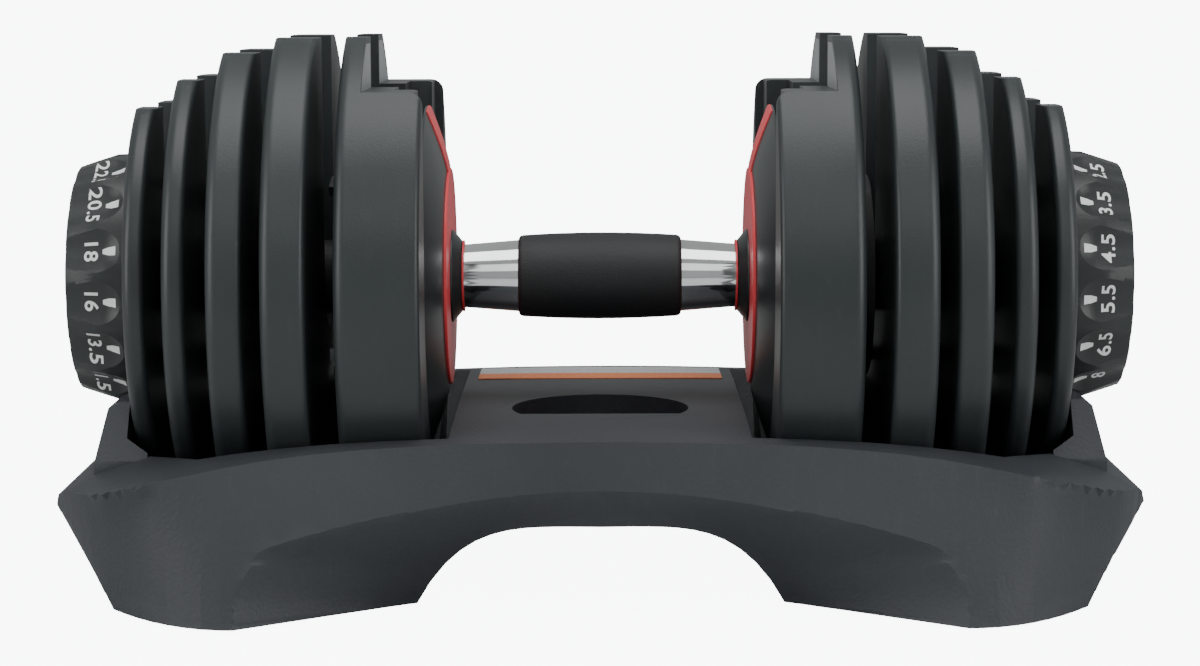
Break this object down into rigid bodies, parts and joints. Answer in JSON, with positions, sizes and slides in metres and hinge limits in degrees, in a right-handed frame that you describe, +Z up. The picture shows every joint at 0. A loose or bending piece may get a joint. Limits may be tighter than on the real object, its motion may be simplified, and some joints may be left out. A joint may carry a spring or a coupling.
{
  "type": "adjustable dumbbell",
  "caption": "Dial-selected adjustable dumbbell with a chrome bar handle and nested black plates, resting in its moulded tray.",
  "frame": {"origin": "on the floor under the middle of the tray", "axes": "+X along the handle, +Z up, and the tray's front faces -Y"},
  "size_m": [0.402, 0.2376, 0.2072],
  "materials": {
    "plate_plastic": "moulded thermoplastic over steel, fine satin texture",
    "guard_plastic": "smooth moulded plastic with a soft sheen",
    "dial_plastic": "moulded plastic with printed white figures",
    "selector_plastic": "glass-filled nylon",
    "tray_plastic": "moulded plastic with a fine leather-like texture",
    "red_plastic": "matt red plastic",
    "grip_rubber": "soft matt rubber",
    "foot_rubber": "plain rubber",
    "handle_chrome": "polished chrome plating",
    "plain_steel": "zinc-plated steel",
    "label_foil": "satin foil with an orange stripe"
  },
  "bodies": {
    "tray": {"tray_shell": "tray_plastic", "tray_feet": "foot_rubber", "tray_label": "label_foil"},
    "handle": {"centre_shaft": "plain_steel", "handle_tube": "handle_chrome", "grip_sleeve": "grip_rubber", "left_hub_ring": "red_plastic", "left_hub_cone": "guard_plastic", "left_guard": "guard_plastic", "left_red_disc": "red_plastic", "left_end_washer": "plain_steel", "left_end_screw": "plain_steel", "right_hub_ring": "red_plastic", "right_hub_cone": "guard_plastic", "right_guard": "guard_plastic", "right_red_disc": "red_plastic", "right_end_washer": "plain_steel", "right_end_screw": "plain_steel"},
    "left_dial": {"left_dial": "dial_plastic", "left_dial_cap": "dial_plastic", "left_drive_tube": "plain_steel", "left_selector_1": "selector_plastic", "left_selector_2": "selector_plastic", "left_selector_3": "selector_plastic", "left_selector_4": "selector_plastic", "left_selector_5": "selector_plastic"},
    "left_plate_1": {"left_plate_1_cover": "plate_plastic", "left_plate_1_core": "plain_steel"},
    "left_plate_2": {"left_plate_2_cover": "plate_plastic", "left_plate_2_core": "plain_steel"},
    "left_plate_3": {"left_plate_3_cover": "plate_plastic", "left_plate_3_core": "plain_steel"},
    "left_plate_4": {"left_plate_4_cover": "plate_plastic", "left_plate_4_core": "plain_steel"},
    "left_plate_5": {"left_plate_5_cover": "plate_plastic", "left_plate_5_core": "plain_steel"},
    "right_dial": {"right_dial": "dial_plastic", "right_dial_cap": "dial_plastic", "right_drive_tube": "plain_steel", "right_selector_1": "selector_plastic", "right_selector_2": "selector_plastic", "right_selector_3": "selector_plastic", "right_selector_4": "selector_plastic", "right_selector_5": "selector_plastic"},
    "right_plate_1": {"right_plate_1_cover": "plate_plastic", "right_plate_1_core": "plain_steel"},
    "right_plate_2": {"right_plate_2_cover": "plate_plastic", "right_plate_2_core": "plain_steel"},
    "right_plate_3": {"right_plate_3_cover": "plate_plastic", "right_plate_3_core": "plain_steel"},
    "right_plate_4": {"right_plate_4_cover": "plate_plastic", "right_plate_4_core": "plain_steel"},
    "right_plate_5": {"right_plate_5_cover": "plate_plastic", "right_plate_5_core": "plain_steel"}
  },
  "joints": [
    {"name": "dumbbell_lift", "type": "slide", "parent": "tray", "child": "handle", "axis": [0, 0, 1], "range_m": [0, 0.2]},
    {"name": "left_dial_spin", "type": "hinge", "parent": "handle", "child": "left_dial", "pos_m": [0, 0, 0.114], "axis": [1, 0, 0], "continuous": true},
    {"name": "left_plate_1_lift", "type": "slide", "parent": "tray", "child": "left_plate_1", "axis": [0, 0, 1], "range_m": [0, 0.2]},
    {"name": "left_plate_2_lift", "type": "slide", "parent": "tray", "child": "left_plate_2", "axis": [0, 0, 1], "range_m": [0, 0.2]},
    {"name": "left_plate_3_lift", "type": "slide", "parent": "tray", "child": "left_plate_3", "axis": [0, 0, 1], "range_m": [0, 0.2]},
    {"name": "left_plate_4_lift", "type": "slide", "parent": "tray", "child": "left_plate_4", "axis": [0, 0, 1], "range_m": [0, 0.2]},
    {"name": "left_plate_5_lift", "type": "slide", "parent": "tray", "child": "left_plate_5", "axis": [0, 0, 1], "range_m": [0, 0.2]},
    {"name": "right_dial_spin", "type": "hinge", "parent": "handle", "child": "right_dial", "pos_m": [0, 0, 0.114], "axis": [1, 0, 0], "continuous": true},
    {"name": "right_plate_1_lift", "type": "slide", "parent": "tray", "child": "right_plate_1", "axis": [0, 0, 1], "range_m": [0, 0.2]},
    {"name": "right_plate_2_lift", "type": "slide", "parent": "tray", "child": "right_plate_2", "axis": [0, 0, 1], "range_m": [0, 0.2]},
    {"name": "right_plate_3_lift", "type": "slide", "parent": "tray", "child": "right_plate_3", "axis": [0, 0, 1], "range_m": [0, 0.2]},
    {"name": "right_plate_4_lift", "type": "slide", "parent": "tray", "child": "right_plate_4", "axis": [0, 0, 1], "range_m": [0, 0.2]},
    {"name": "right_plate_5_lift", "type": "slide", "parent": "tray", "child": "right_plate_5", "axis": [0, 0, 1], "range_m": [0, 0.2]}
  ],
  "couplings": [
    {"joint": "left_plate_1_lift", "follows": "dumbbell_lift", "ratio": 1},
    {"joint": "left_plate_2_lift", "follows": "dumbbell_lift", "ratio": 1},
    {"joint": "left_plate_3_lift", "follows": "dumbbell_lift", "ratio": 1},
    {"joint": "left_plate_4_lift", "follows": "dumbbell_lift", "ratio": 1},
    {"joint": "left_plate_5_lift", "follows": "dumbbell_lift", "ratio": 1},
    {"joint": "right_plate_1_lift", "follows": "dumbbell_lift", "ratio": 1},
    {"joint": "right_plate_2_lift", "follows": "dumbbell_lift", "ratio": 1},
    {"joint": "right_plate_3_lift", "follows": "dumbbell_lift", "ratio": 1},
    {"joint": "right_plate_4_lift", "follows": "dumbbell_lift", "ratio": 1},
    {"joint": "right_plate_5_lift", "follows": "dumbbell_lift", "ratio": 1}
  ]
}
